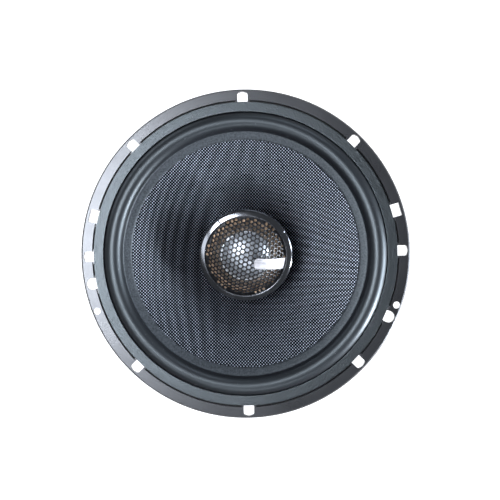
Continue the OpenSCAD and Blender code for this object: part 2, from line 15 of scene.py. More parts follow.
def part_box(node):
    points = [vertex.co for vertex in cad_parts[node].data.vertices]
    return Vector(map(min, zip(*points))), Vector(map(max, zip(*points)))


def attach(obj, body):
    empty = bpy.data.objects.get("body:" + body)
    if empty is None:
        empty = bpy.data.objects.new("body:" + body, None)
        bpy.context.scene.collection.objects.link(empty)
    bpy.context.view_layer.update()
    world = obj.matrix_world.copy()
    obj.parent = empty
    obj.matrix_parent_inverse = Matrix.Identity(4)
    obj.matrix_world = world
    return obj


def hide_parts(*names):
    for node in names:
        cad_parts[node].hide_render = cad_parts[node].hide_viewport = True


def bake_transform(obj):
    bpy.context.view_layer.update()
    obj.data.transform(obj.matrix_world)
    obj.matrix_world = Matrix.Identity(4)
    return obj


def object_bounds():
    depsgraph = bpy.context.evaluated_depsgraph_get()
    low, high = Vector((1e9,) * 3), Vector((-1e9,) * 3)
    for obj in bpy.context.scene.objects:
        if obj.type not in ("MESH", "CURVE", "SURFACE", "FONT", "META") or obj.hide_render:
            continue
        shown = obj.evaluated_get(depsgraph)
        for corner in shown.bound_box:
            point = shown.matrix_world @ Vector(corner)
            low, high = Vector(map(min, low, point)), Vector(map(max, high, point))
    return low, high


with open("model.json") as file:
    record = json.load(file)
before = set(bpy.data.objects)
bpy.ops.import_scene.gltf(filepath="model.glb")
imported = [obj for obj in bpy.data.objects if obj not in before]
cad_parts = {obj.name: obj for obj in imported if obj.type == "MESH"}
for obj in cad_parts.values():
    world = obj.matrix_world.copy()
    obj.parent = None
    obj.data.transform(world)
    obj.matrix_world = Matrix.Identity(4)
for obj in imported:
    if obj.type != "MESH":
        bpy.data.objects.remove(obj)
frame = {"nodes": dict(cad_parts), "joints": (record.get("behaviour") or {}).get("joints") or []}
cad_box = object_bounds()
NODES = frame["nodes"]
MM = 0.001


def top(node):
    """Highest corner of a CAD node, in millimetres."""
    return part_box(node)[1] / MM


def low(node):
    """Lowest corner of a CAD node, in millimetres."""
    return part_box(node)[0] / MM


# ---------------------------- driving sizes, in millimetres
# Gasket on the surround's outer lip, and the flange's inner step round them
RUBBER_T = 0.6
LIP_OUTER_R = top("surround").x
GASKET_INNER_R = 71.32
GASKET_OUTER_R = LIP_OUTER_R + 0.2
GASKET_LOW = low("front_gasket").z
GASKET_TOP = top("front_gasket").z
GASKET_MARGIN = 0.4
LEDGE_Z = GASKET_LOW - RUBBER_T
STEP_R = 77.1

# Slots and notches round the flange, and how far from their middles the cement beside the gasket stays; that
# cement is partly painted shade in the gap
SLOT_TURNS = [math.radians(degrees) for degrees in (*range(0, 360, 45), 15, 165, 190, 335)]
SLOT_CLEAR = 3.6

# Surround, cone and voice coil former
ROLL_R = 66.6
ROLL_SECTION_R = 4.7
ROLL_OUTER_R = ROLL_R + ROLL_SECTION_R
ROLL_Z = LEDGE_Z + RUBBER_T / 2
INNER_LIP_R = 57.4
CONE_EDGE_R = 61.4
CONE_EDGE_Z = 0.6
CONE_DEPTH = 27.6
CONE_CURVE = 0.7
CONE_T = 0.7
FORMER_R = 15.0
NECK_R = 15.25
NECK_Z = -26.3

# Cone's weave, and the bands of painted sheen on it, whose rates are for metres
CONE_WEAVE = 0.78
BAND_TURN = math.radians(8)
BAND_RATE = 480
BAND_FAN = 175000
BAND_SIDE_RATIO = 2.2
BAND_CHANGEOVER = 22

# Spider
SPIDER_Z = -30.25
SPIDER_T = 0.5
SPIDER_EDGE_R = 45.5
SPIDER_WAVE_FROM = 18.0
SPIDER_WAVE_TO = 36.9
SPIDER_WAVES = 4
SPIDER_WAVE_H = 1.1
SPIDER_WEAVE = 0.7

# Motor
TOP_PLATE_Z = low("top_plate").z
MAGNET_Z = low("ferrite_magnet").z
PLATE_R = top("top_plate").x
PLATE_GLUE_R = PLATE_R - 0.2

# Tweeter head: its frame stands on the tilt pins, with +Z along the diaphragm's travel
JOINTS = {joint["name"]: joint for joint in frame["joints"]}
HEAD_AXIS = Vector(JOINTS["tweeter_dome_travel"]["axis"]).normalized()
PIVOT = Vector(JOINTS["tweeter_tilt"]["pos_m"])
HEAD = Matrix.Translation(PIVOT) @ Vector((0, 0, 1)).rotation_difference(HEAD_AXIS).to_matrix().to_4x4()
FACE_Z = 4.0
FACEPLATE_BORE_R = 13.4
FACEPLATE_R = 21.58
FACEPLATE_LOW = 2.52

# Bezel, with two nicks in its front
BEZEL_R = 23.5
BEZEL_INNER_R = 20.25
BEZEL_SEAT_R = 21.62
BEZEL_SKIRT_Z = 1.2
BEZEL_FRONT_Z = 6.0
NICK_TURNS = [math.radians(31), math.radians(126)]
NICK_HALF_TURN = math.radians(0.3)
NICK_DEPTH = 0.16

# Mesh: part of a sphere, with a flat rim under the bezel. The outermost holes run over the dome's edge
MESH_SPHERE_R = 26.0
MESH_EDGE_R = 20.2
MESH_RIM_R = 21.6
MESH_T = 0.5
MESH_DROP = 0.01
MESH_CENTRE_Z = FACE_Z - math.sqrt(MESH_SPHERE_R**2 - MESH_EDGE_R**2)
HOLE_R = 0.91
HOLE_PITCH = 2.5
HOLE_ROW_TURN = math.radians(20)
HOLE_SIDES = 16
HOLE_ROUNDING = 0.07
HOLE_ROUNDING_DEPTH = 0.09
HOLE_OVERRUN = 0.54
RIM_SIDES = 160

# The same mesh as a flat blank, before it is drawn to a dome
MESH_EDGE_ANGLE = math.acos((FACE_Z + MESH_T - MESH_CENTRE_Z) / MESH_SPHERE_R)
MESH_DOME_R = MESH_SPHERE_R * math.sin(MESH_EDGE_ANGLE)
BLANK_DOME_R = MESH_SPHERE_R * MESH_EDGE_ANGLE
BLANK_R = BLANK_DOME_R + MESH_RIM_R - MESH_DOME_R

# Badge
BADGE_START = (4.0, -2.0)
BADGE_TURN = math.radians(-7.3)
BADGE_W = 5.4
BADGE_CORNER_R = 1.8
BADGE_REACH_R = 19.6
BADGE_T = 0.7
BADGE_SEAT_R = MESH_SPHERE_R + 0.04
BADGE_EDGE_DROPS = (0.16, 0.02, 0.0, 0.05)

# Dome, and the ring round it: a small roll and its lip on the faceplate
DOME_R = 12.5
DOME_Z = 4.2
DOME_H = 4.4
FOIL_T = 0.25
DOME_ROLL_R = 1.2
DOME_ROLL_T = 0.25
DOME_ROLL_MIDDLE = (DOME_R + 0.2 + DOME_ROLL_R, FACE_Z + 0.3)
DOME_LIP_R = 16.4
DOME_RING_STILL_R = 15.2
DOME_RING_MOVING_R = 12.9

# Terminal board, on the spoke between +X and -Y
TERMINAL = Matrix.Rotation(math.radians(-45), 4, "Z")
BOARD_FRONT_R = 63.1
MARK_SIDE = 11.3
MARK_Z = -30.2
WIRE_R = 0.55
WIRE_SIDE = 0.65
TINSEL_R = 0.7
TINSEL_SIDE = 10.5
CAPACITOR_R = 4.0
CAPACITOR_L = 15.0
CAPACITOR_Z = -22.4
CAPACITOR_END_R = CAPACITOR_R - 1.25

# Routes of the leads, as (x, z) points in the terminal's plane
FEED_ROUTE = [
    (0, -17), (0, -28), (0, -40), (0, -52), (0, -58.4), (0.5, -60.4), (2, -61.8), (4.4, -62.1), (12, -62.1),
    (24, -62.1), (36, -62.1), (43, -61.9), (45.6, -60.4), (46.2, -57), (46.2, -50), (46.3, -43), (47.8, -38),
    (51.5, -34.4), (56.5, -32), (61.3, -31.1),
]
TINSEL_ROUTE = [
    (17.5, -23.9), (20.5, -25.6), (25, -26), (30, -24.8), (35, -23.2), (40, -22.2), (45, -22), (50, -22.6),
    (56, -23.3), (61.3, -23.3),
]

# ---------------------------- stage and camera, in metres
FLOOR_REACH = 8.0
FLOOR_GAP = 0.0002
BACKDROP_SIDES = 64
CAMERA_ROLL = math.radians(-1.2)
CAMERA_OFFSET = (0.00217, 0.00182, 0)
LENS = 86.0
SENSOR = 36.0
VIEW_WIDTH = 0.2508
VIEW_PLANE_Z = 0.003

# ---------------------------- colours that several materials or lights share
PAINT_SHEEN = (0.94, 0.95, 0.97, 1)
RUBBER_SHEEN = (0.86, 0.96, 1, 1)
COOL = (0.86, 0.91, 1.0)
COOLER = (0.8, 0.88, 1.0)


# ---------------------------- material helpers
def put(tree, kind, inputs=(), **settings):
    """Adds one shader node; a value that is a socket is linked."""
    node = tree.nodes.new("ShaderNode" + kind)
    for key, value in settings.items():
        setattr(node, key, value)
    for socket, value in dict(inputs).items():
        if isinstance(value, bpy.types.NodeSocket):
            tree.links.new(value, node.inputs[socket])
        else:
            node.inputs[socket].default_value = value
    return node


def maths(tree, operation, *values):
    return put(tree, "Math", enumerate(values), operation=operation).outputs[0]


def vector_maths(tree, operation, *values):
    return put(tree, "VectorMath", enumerate(values), operation=operation).outputs[0]


def mixed(tree, factor, first, second):
    return put(tree, "Mix", {0: factor, 2: first, 3: second}).outputs[0]


def mixed_colours(tree, factor, first, second, blend_type="MIX"):
    inputs = {0: factor, 6: first, 7: second}
    return put(tree, "Mix", inputs, data_type="RGBA", blend_type=blend_type).outputs[2]


def stretched(tree, x, y, z):
    """Object coordinates, scaled apart along the three axes."""
    return vector_maths(tree, "MULTIPLY", put(tree, "TexCoord").outputs["Object"], (x, y, z))


def noise(tree, scale, detail=2.0, stretch=(1, 1, 1), rough=0.5):
    inputs = {"Vector": stretched(tree, *stretch), "Scale": scale, "Detail": detail, "Roughness": rough}
    return put(tree, "TexNoise", inputs).outputs["Fac"]


def ramp(tree, factor, dark, light, start=0.3, end=0.7):
    """Colour that goes from dark to light as factor goes from start to end."""
    node = put(tree, "ValToRGB", {0: factor})
    for element, position, colour in zip(node.color_ramp.elements, (start, end), (dark, light)):
        element.position = position
        element.color = (*colour, 1)
    return node.outputs[0]


def dimmed(colour, share):
    return [share * channel for channel in colour]


def triple(value):
    """Three equal numbers: a grey, or an even scale."""
    return (value, value, value)


def spread(tree, factor, low_value, high_value):
    """Value that goes from low_value to high_value as a noise goes through its usual range."""
    inputs = {"Value": factor, "From Min": 0.3, "From Max": 0.7, "To Min": low_value, "To Max": high_value}
    return put(tree, "MapRange", inputs).outputs[0]


def shader(name, roughness, metallic=0.0, **more):
    """A Principled material; more sets other sockets by name, with _ for a space."""
    material = bpy.data.materials.new(name)
    material.use_nodes = True
    tree = material.node_tree
    bsdf = tree.nodes["Principled BSDF"]
    bsdf.inputs["Roughness"].default_value = roughness
    bsdf.inputs["Metallic"].default_value = metallic
    for key, value in more.items():
        bsdf.inputs[key.replace("_", " ")].default_value = value
    return material, tree, bsdf


def link(tree, bsdf, **sockets):
    for key, socket in sockets.items():
        tree.links.new(socket, bsdf.inputs[key.replace("_", " ")])


def bump(tree, bsdf, height, distance):
    """Bump whose height of 1 stands distance millimetres proud."""
    node = put(tree, "Bump", {"Height": height, "Distance": distance * MM, "Strength": 1.0})
    link(tree, bsdf, Normal=node.outputs[0])


# ---------------------------- materials
def satin_paint(name, colour, roughness, specular=0.5):
    """Painted or moulded black with fine orange peel and slightly uneven gloss."""
    material, tree, bsdf = shader(name, roughness, Specular_IOR_Level=specular, Specular_Tint=PAINT_SHEEN)
    cloud = noise(tree, 45, 3)
    dust = noise(tree, 2600, 2)
    dusty = [channel * 1.6 + 0.001 for channel in colour]
    gloss = spread(tree, cloud, roughness - 0.025, roughness + 0.025)
    link(tree, bsdf, Base_Color=ramp(tree, dust, colour, dusty, end=0.75), Roughness=gloss)
    bump(tree, bsdf, noise(tree, 1500, 3), 0.02)
    return material


def grained_rubber(name, dark, light, roughness, scale, depth, specular=0.55):
    """Matte rubber or foam with a fine granular face."""
    material, tree, bsdf = shader(name, roughness, Specular_IOR_Level=specular, Specular_Tint=RUBBER_SHEEN)
    grain = noise(tree, scale, 3, rough=0.65)
    link(tree, bsdf, Base_Color=ramp(tree, grain, dark, light, 0.35, 0.65))
    bump(tree, bsdf, grain, depth)
    return material


def roll_rubber():
    """Smooth moulded rubber with a soft sheen and a few specks of dust."""
    material, tree, bsdf = shader("roll_rubber", 0.4, Specular_IOR_Level=0.62, Specular_Tint=RUBBER_SHEEN)
    specks = ramp(tree, noise(tree, 700, 1), (0.006, 0.0065, 0.008), (0.05, 0.052, 0.058), 0.74, 0.78)
    link(tree, bsdf, Base_Color=specks, Roughness=spread(tree, noise(tree, 60, 3), 0.37, 0.43))
    bump(tree, bsdf, noise(tree, 2400, 2), 0.004)
    return material


def weave_parts(tree, pitch, wobble=0.0):
    """Plain weave over X and Y: 0 or 1 for the yarn that is on top, and that yarn's height."""
    coords = stretched(tree, 1, 1, 1)
    if wobble:
        shift = put(tree, "TexNoise", {"Vector": coords, "Scale": 22, "Detail": 1}).outputs["Color"]
        coords = vector_maths(tree, "ADD", coords, vector_maths(tree, "MULTIPLY", shift, triple(wobble * MM)))
    axes = put(tree, "SeparateXYZ", {0: vector_maths(tree, "MULTIPLY", coords, triple(1 / (pitch * MM)))})
    u, v = axes.outputs[0], axes.outputs[1]
    cell = maths(tree, "ADD", maths(tree, "FLOOR", u), maths(tree, "FLOOR", v))
    parity = maths(tree, "GREATER_THAN", maths(tree, "FLOORED_MODULO", cell, 2), 0.5)
    du = maths(tree, "ABSOLUTE", maths(tree, "MULTIPLY_ADD", maths(tree, "FRACT", u), 2, -1))
    dv = maths(tree, "ABSOLUTE", maths(tree, "MULTIPLY_ADD", maths(tree, "FRACT", v), 2, -1))
    across = mixed(tree, parity, du, dv)
    along = mixed(tree, parity, dv, du)
    crown = maths(tree, "SUBTRACT", 1, maths(tree, "MULTIPLY", across, across))
    dip = maths(tree, "MULTIPLY_ADD", maths(tree, "MULTIPLY", along, along), -0.6, 1)
    return parity, maths(tree, "MULTIPLY", crown, dip)


def painted_sheen_bands(tree):
    """Painted sheen: bands that stand in for the woven cloth's lustre, as a factor around 1 on its colour,
    fanning with radius.
    """
    inputs = {"Vector": stretched(tree, 1, 1, 1), "Angle": BAND_TURN}
    coords = put(tree, "VectorRotate", inputs, rotation_type="Z_AXIS").outputs[0]
    axes = put(tree, "SeparateXYZ", {0: coords})
    x, y = axes.outputs[0], axes.outputs[1]
    r_squared = maths(tree, "ADD", maths(tree, "MULTIPLY", x, x), maths(tree, "MULTIPLY", y, y))
    sheen_band_rate = maths(tree, "MULTIPLY_ADD", r_squared, BAND_FAN, BAND_RATE)
    side_y = maths(tree, "MULTIPLY", y, BAND_SIDE_RATIO)
    across_x = maths(tree, "SINE", maths(tree, "MULTIPLY", x, sheen_band_rate))
    across_y = maths(tree, "SINE", maths(tree, "MULTIPLY", side_y, sheen_band_rate))
    side = put(tree, "Clamp", {0: maths(tree, "MULTIPLY_ADD", x, BAND_CHANGEOVER, 0.5)}).outputs[0]
    strength = spread(tree, noise(tree, 28, 1), 0.08, 0.42)
    return maths(tree, "MULTIPLY_ADD", mixed(tree, side, across_x, across_y), strength, 1)


def woven_cone():
    """Silver and black yarns in plain weave under a thin resin coat, with bands of painted sheen in their
    colour.
    """
    material, tree, bsdf = shader("woven_cone", 0.48, 0.85, Specular_IOR_Level=0.4)
    parity, height = weave_parts(tree, CONE_WEAVE, wobble=0.5)
    silver = ramp(tree, height, (0.001, 0.0015, 0.003), (0.5, 0.56, 0.65), 0.5, 0.95)
    black = ramp(tree, height, (0.001, 0.001, 0.0015), (0.005, 0.006, 0.008), 0.2, 0.9)
    yarns = mixed_colours(tree, parity, silver, black)
    fibre = spread(tree, noise(tree, 5200, 1), 0.75, 1.15)
    # The fibre noise is the yarns' own tone; the bands multiplied in with it are painted sheen.
    shade = maths(tree, "MULTIPLY", fibre, painted_sheen_bands(tree))
    link(tree, bsdf, Base_Color=mixed_colours(tree, 1.0, yarns, shade, "MULTIPLY"))
    bump(tree, bsdf, height, 0.08)
    return material


def spider_cloth():
    """Woven cloth dipped in resin."""
    material, tree, bsdf = shader("spider_cloth", 0.7, Specular_IOR_Level=0.35)
    height = weave_parts(tree, SPIDER_WEAVE)[1]
    link(tree, bsdf, Base_Color=ramp(tree, height, (0.2, 0.11, 0.03), (0.62, 0.42, 0.16), 0.05, 0.8))
    bump(tree, bsdf, height, 0.12)
    return material


def turned_metal(name, colour, roughness):
    """Plated or turned steel: fine rings round the speaker's axis and cloudy plating."""
    material, tree, bsdf = shader(name, roughness, 1.0)
    radius = put(tree, "VectorMath", {0: stretched(tree, 1, 1, 0)}, operation="LENGTH").outputs["Value"]
    lines = put(tree, "TexNoise", {"W": radius, "Scale": 2600, "Detail": 2}, noise_dimensions="1D")
    cloud = noise(tree, 70, 4)
    gloss = spread(tree, cloud, roughness + 0.1, roughness - 0.04)
    link(tree, bsdf, Base_Color=ramp(tree, cloud, dimmed(colour, 0.75), colour), Roughness=gloss)
    bump(tree, bsdf, lines.outputs["Fac"], 0.006)
    return material


def plain_metal(name, colour, roughness, grain=0.004):
    """Small metal parts: scratched, unevenly polished."""
    material, tree, bsdf = shader(name, roughness, 1.0)
    scratch_scale = 1400
    cloud = noise(tree, scratch_scale / 6, 3)
    gloss = spread(tree, cloud, roughness - 0.05, roughness + 0.1)
    link(tree, bsdf, Base_Color=ramp(tree, cloud, dimmed(colour, 0.8), colour), Roughness=gloss)
    bump(tree, bsdf, noise(tree, scratch_scale, 2), grain)
    return material


def ferrite_stone():
    """Ground sintered ferrite: dark, pitted, with lighter grinding haze."""
    material, tree, bsdf = shader("ferrite_stone", 0.55)
    pits = noise(tree, 900, 4, rough=0.7)
    tint = ramp(tree, noise(tree, 40, 3), (0.018, 0.018, 0.02), (0.05, 0.05, 0.054), end=0.75)
    link(tree, bsdf, Base_Color=tint, Roughness=spread(tree, pits, 0.42, 0.7))
    bump(tree, bsdf, ramp(tree, pits, triple(0), triple(1), 0.28, 0.42), 0.04)
    return material


def laminate():
    """Phenolic paper board: brown with fine paper fibres."""
    material, tree, bsdf = shader("laminate", 0.42)
    fibre = noise(tree, 500, 4, (1, 1, 9))
    link(tree, bsdf, Base_Color=ramp(tree, fibre, (0.09, 0.035, 0.012), (0.2, 0.09, 0.035)))
    bump(tree, bsdf, fibre, 0.01)
    return material


def soft_plastic(name, colour, roughness=0.4):
    """Wire insulation, glue and small moulded plastic, faintly marbled."""
    material, tree, bsdf = shader(name, roughness)
    link(tree, bsdf, Base_Color=ramp(tree, noise(tree, 600, 3), dimmed(colour, 0.82), colour))
    bump(tree, bsdf, noise(tree, 3000, 2), 0.004)
    return material


def braided_copper():
    """Braid of fine copper strands."""
    material, tree, bsdf = shader("braided_copper", 0.35, 1.0)
    strands = noise(tree, 2600, 2)
    link(tree, bsdf, Base_Color=ramp(tree, strands, (0.3, 0.12, 0.05), (0.85, 0.48, 0.27)))
    bump(tree, bsdf, strands, 0.04)
    return material


def wound_copper():
    """Enamelled wire laid in turns up the coil."""
    material, tree, bsdf = shader("copper_winding", 0.28, 0.9)
    inputs = {"Vector": stretched(tree, 0, 0, 1), "Scale": 550}
    turns = put(tree, "TexWave", inputs, bands_direction="Z").outputs["Fac"]
    link(tree, bsdf, Base_Color=ramp(tree, turns, (0.2, 0.05, 0.015), (0.75, 0.3, 0.12), 0.1, 0.8))
    bump(tree, bsdf, turns, 0.06)
    return material


def film():
    """Amber polyimide film."""
    material, tree, bsdf = shader("film", 0.25, Coat_Weight=0.3)
    cloud = noise(tree, 200, 2)
    link(tree, bsdf, Base_Color=ramp(tree, cloud, (0.35, 0.16, 0.025), (0.5, 0.26, 0.05)))
    bump(tree, bsdf, cloud, 0.01)
    return material


def soft_felt():
    material, tree, bsdf = shader("soft_felt", 0.95, Sheen_Weight=0.4)
    hair = noise(tree, 2200, 4, rough=0.7)
    link(tree, bsdf, Base_Color=ramp(tree, hair, (0.42, 0.4, 0.35), (0.68, 0.66, 0.6)))
    bump(tree, bsdf, hair, 0.15)
    return material


def foil_dome():
    """Drawn metal foil, slightly clouded."""
    material, tree, bsdf = shader("foil_dome", 0.38, 0.92)
    cloud = noise(tree, 300, 3)
    tint = ramp(tree, cloud, (0.68, 0.72, 0.78), (0.86, 0.9, 0.95))
    link(tree, bsdf, Base_Color=tint, Roughness=spread(tree, cloud, 0.35, 0.42))
    bump(tree, bsdf, noise(tree, 1800, 2), 0.006)
    return material


def bronze_plate():
    """Tan bronze ring round the dome, mottled."""
    material, tree, bsdf = shader("bronze_plate", 0.5, 0.6)
    grain = noise(tree, 450, 3)
    tint = ramp(tree, grain, (0.1, 0.066, 0.042), (0.54, 0.375, 0.245), 0.35, 0.65)
    link(tree, bsdf, Base_Color=tint, Roughness=spread(tree, grain, 0.42, 0.56))
    bump(tree, bsdf, grain, 0.015)
    return material


def dome_ring_skin():
    """Glossy coated cloth of the small roll round the dome."""
    material, tree, bsdf = shader("dome_ring_skin", 0.3, 0.4, Coat_Weight=0.3, Coat_Roughness=0.2)
    grain = noise(tree, 1500, 3)
    link(tree, bsdf, Base_Color=ramp(tree, grain, (0.14, 0.1, 0.07), (0.26, 0.19, 0.13)))
    bump(tree, bsdf, grain, 0.012)
    return material


def mesh_lacquer():
    """Satin black lacquer on the perforated grille."""
    material, tree, bsdf = shader("mesh_lacquer", 0.34, Specular_IOR_Level=0.5)
    cloud = noise(tree, 400, 3)
    tint = ramp(tree, cloud, (0.002, 0.002, 0.0025), (0.005, 0.005, 0.006))
    link(tree, bsdf, Base_Color=tint, Roughness=spread(tree, cloud, 0.3, 0.4))
    bump(tree, bsdf, noise(tree, 2500, 2), 0.003)
    return material


def black_chrome():
    """Satin black plating on the tweeter's bezel."""
    material, tree, bsdf = shader("black_chrome", 0.15, 0.92)
    cloud = noise(tree, 120, 3)
    tint = ramp(tree, cloud, (0.1, 0.103, 0.11), (0.13, 0.134, 0.142))
    link(tree, bsdf, Base_Color=tint, Roughness=spread(tree, cloud, 0.13, 0.17))
    bump(tree, bsdf, noise(tree, 2600, 2), 0.0005)
    return material


def brushed_badge():
    """Bright aluminium, brushed along its length."""
    material, tree, bsdf = shader("brushed_badge", 0.45, 0.3)
    lines = noise(tree, 1200, 2, (0.05, 1, 1))
    tint = ramp(tree, lines, (0.24, 0.235, 0.24), (0.38, 0.37, 0.38))
    link(tree, bsdf, Base_Color=tint, Roughness=spread(tree, lines, 0.4, 0.52))
    bump(tree, bsdf, lines, 0.006)
    return material


BLACK_PAINT = satin_paint("black_paint", (0.0015, 0.0016, 0.0022), 0.285, specular=0.8)
BLACK_CHROME = black_chrome()
BLACK_MOULD = satin_paint("black_mould", (0.014, 0.014, 0.015), 0.5)
GASKET_RUBBER = grained_rubber("gasket_rubber", (0.0004, 0.0005, 0.0007), (0.0035, 0.0041, 0.005),
                               roughness=0.31, scale=1200, depth=0.14, specular=0.68)
LIP_RUBBER = grained_rubber("lip_rubber", (0.005, 0.006, 0.0075), (0.037, 0.041, 0.047),
                            roughness=0.46, scale=1100, depth=0.05)
ROLL_RUBBER = roll_rubber()
WOVEN_CONE = woven_cone()
SPIDER_CLOTH = spider_cloth()
PLATED_STEEL = turned_metal("plated_steel", (0.4, 0.41, 0.43), 0.34)
BARE_STEEL = turned_metal("bare_steel", (0.62, 0.62, 0.63), 0.28)
ZINC = plain_metal("zinc", (0.5, 0.51, 0.54), 0.27)
TINNED = plain_metal("tinned", (0.46, 0.45, 0.42), 0.28)
BRASS = plain_metal("brass", (0.78, 0.56, 0.25), 0.24)
NICKEL = plain_metal("nickel", (0.72, 0.72, 0.72), 0.15)
SOLDER = plain_metal("solder", (0.66, 0.66, 0.67), 0.3, grain=0.02)
FERRITE = ferrite_stone()
LAMINATE = laminate()
NYLON = soft_plastic("nylon", (0.8, 0.78, 0.72), 0.45)
RED_WIRE = soft_plastic("red_wire", (0.55, 0.02, 0.015))
BLACK_WIRE = soft_plastic("black_wire", (0.014, 0.014, 0.015))
SLEEVE = soft_plastic("capacitor_sleeve", (0.02, 0.09, 0.3), 0.22)
MARKING = soft_plastic("marking_ink", (0.85, 0.84, 0.8), 0.6)
TAR_GLUE = soft_plastic("tar_glue", (0.002, 0.002, 0.002), 0.7)
AMBER_GLUE = soft_plastic("amber_glue", (0.4, 0.2, 0.05), 0.2)
TINSEL = braided_copper()
COPPER = wound_copper()
FILM = film()
FELT = soft_felt()
FOIL = foil_dome()
BRONZE = bronze_plate()
DOME_RING = dome_ring_skin()
LACQUER = mesh_lacquer()
BADGE = brushed_badge()

CAD_LOOKS = {
    "basket": BLACK_PAINT, "top_plate": PLATED_STEEL, "ferrite_magnet": FERRITE, "back_plate": PLATED_STEEL,
    "pole_piece": BARE_STEEL, "basket_rivets": ZINC, "terminal_board": LAMINATE, "board_rivet": ZINC,
    "positive_terminal": TINNED, "negative_terminal": TINNED, "terminal_rivets": BRASS,
    "capacitor_leads": TINNED, "tweeter_post": BLACK_MOULD, "post_washer": ZINC, "post_nut": ZINC,
    "friction_washer": NYLON, "swivel_rivet": BRASS, "voice_coil_former": FILM, "voice_coil_winding": COPPER,
    "lead_anchors": SOLDER, "swivel_yoke": BLACK_MOULD, "tilt_pins": ZINC, "tweeter_cup": BLACK_MOULD,
    "tweeter_felt": FELT, "tweeter_magnet_cup": BARE_STEEL, "tweeter_magnet": NICKEL,
    "tweeter_pole_plate": BARE_STEEL, "tweeter_coil": COPPER, "tweeter_leads": RED_WIRE,
}
for node_name, look in CAD_LOOKS.items():
    NODES[node_name].data.materials.clear()
    NODES[node_name].data.materials.append(look)


# ---------------------------- mesh helpers
def finish_mesh(name, mesh_data, materials, matrix, sharp_angle):
    """Makes an object from (points in mm, faces) placed by matrix, smooth except at sharp edges."""
    points, faces = mesh_data
    mesh = bpy.data.meshes.new(name)
    mesh.from_pydata([Vector(p) * MM for p in points], [], faces)
    mesh.transform(matrix)
    mesh.validate()
    tidy = bmesh.new()
    tidy.from_mesh(mesh)
    bmesh.ops.recalc_face_normals(tidy, faces=tidy.faces)
    tidy.to_mesh(mesh)
    tidy.free()
    mesh.polygons.foreach_set("use_smooth", [True] * len(mesh.polygons))
    mesh.set_sharp_from_angle(angle=math.radians(sharp_angle))
    for material in materials:
        mesh.materials.append(material)
    piece = bpy.data.objects.new(name, mesh)
    bpy.context.scene.collection.objects.link(piece)
    return piece


def revolved(profile, steps, shape=None):
    """Closed (r, z) profile turned round Z. shape(angle, r, z) may move a point."""
    points, faces = [], []
    count = len(profile)
    for i in range(steps):
        angle = math.tau * i / steps
        for r, z in profile:
            if shape:
                r, z = shape(angle, r, z)
            points.append((r * math.cos(angle), r * math.sin(angle), z))
    for i in range(steps):
        j = (i + 1) % steps
        for k in range(count):
            m = (k + 1) % count
            faces.append((i * count + k, j * count + k, j * count + m, i * count + m))
    return points, faces


def capped(profile, steps):
    """(r, z) profile from the axis to the axis turned round Z; its first and last points lie on the axis."""
    inner = profile[1:-1]
    points = [(0, 0, profile[0][1]), (0, 0, profile[-1][1])]
    for i in range(steps):
        angle = math.tau * i / steps
        points += [(r * math.cos(angle), r * math.sin(angle), z) for r, z in inner]
    faces = []
    count = len(inner)
    for i in range(steps):
        j = (i + 1) % steps
        first, following = 2 + i * count, 2 + j * count
        faces.append((0, first, following))
        for k in range(count - 1):
            faces.append((first + k, first + k + 1, following + k + 1, following + k))
        faces.append((1, following + count - 1, first + count - 1))
    return points, faces


def filleted(corners, radius, steps=4):
    """Closed (r, z) outline with each corner rounded; a corner may carry a radius of its own."""
    outline = []
    count = len(corners)
    for i, corner in enumerate(corners):
        here = Vector(corner[:2])
        before = Vector(corners[i - 1][:2]) - here
        after = Vector(corners[(i + 1) % count][:2]) - here
        own = corner[2] if len(corner) > 2 else radius
        reach = min(own, 0.45 * before.length, 0.45 * after.length)
        start, end = here + before.normalized() * reach, here + after.normalized() * reach
        for k in range(steps + 1):
            t = k / steps
            outline.append(tuple(start * (1 - t) ** 2 + here * 2 * t * (1 - t) + end * t**2))
    return outline


def arc(centre, radius, start, end, steps):
    """Points round centre from one angle to another, in degrees."""
    angles = [math.radians(start + (end - start) * i / steps) for i in range(steps + 1)]
    return [(centre[0] + radius * math.cos(a), centre[1] + radius * math.sin(a)) for a in angles]


def circle(centre, radius, count):
    """Points of a full circle round centre, in the flat."""
    turns = [math.tau * k / count for k in range(count)]
    return [centre + radius * Vector((math.cos(turn), math.sin(turn))) for turn in turns]


def smooth_route(route, parts):
    """Catmull-Rom points through (x, z) route points."""
    last = len(route) - 1
    points = []
    for i in range(last):
        p = [Vector(route[min(max(i + k, 0), last)]) for k in (-1, 0, 1, 2)]
        for k in range(parts):
            t = k / parts
            points.append(0.5 * (
                2 * p[1] + (p[2] - p[0]) * t + (2 * p[0] - 5 * p[1] + 4 * p[2] - p[3]) * t * t
                + (3 * p[1] - p[0] - 3 * p[2] + p[3]) * t**3
            ))
    return points + [Vector(route[last])]


def tube(route, radius, side, sides, relief=None):
    """Round tube along (x, z) points in the plane y = side. relief(length, angle) scales its radius."""
    points, faces, length = [], [], 0.0
    last = len(route) - 1
    for i, here in enumerate(route):
        before = route[max(i - 1, 0)]
        heading = (route[min(i + 1, last)] - before).normalized()
        length += (here - before).length
        for k in range(sides):
            angle = math.tau * k / sides
            r = radius * (relief(length, angle) if relief else 1)
            out = r * math.cos(angle)
            points.append((here.x - out * heading.y, side + r * math.sin(angle), here.y + out * heading.x))
    for i in range(last):
        for k in range(sides):
            m = (k + 1) % sides
            faces.append((i * sides + k, i * sides + m, (i + 1) * sides + m, (i + 1) * sides + k))
    faces += [tuple(range(sides)), tuple(last * sides + k for k in reversed(range(sides)))]
    return points, faces


def joined(*meshes):
    """Several (points, faces) as one."""
    points, faces = [], []
    for more_points, more_faces in meshes:
        faces += [tuple(k + len(points) for k in face) for face in more_faces]
        points += more_points
    return points, faces


def add_piece(name, mesh_data, material, body, matrix=Matrix.Identity(4), replaces=(), sharp_angle=40):
    """A visible piece that rides on a body, takes a slot's finish and may stand for CAD nodes."""
    materials = material if isinstance(material, list) else [material]
    piece = finish_mesh(name, mesh_data, materials, matrix, sharp_angle)
    if body:
        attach(piece, body)
    if replaces:
        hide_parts(*replaces)
    return piece


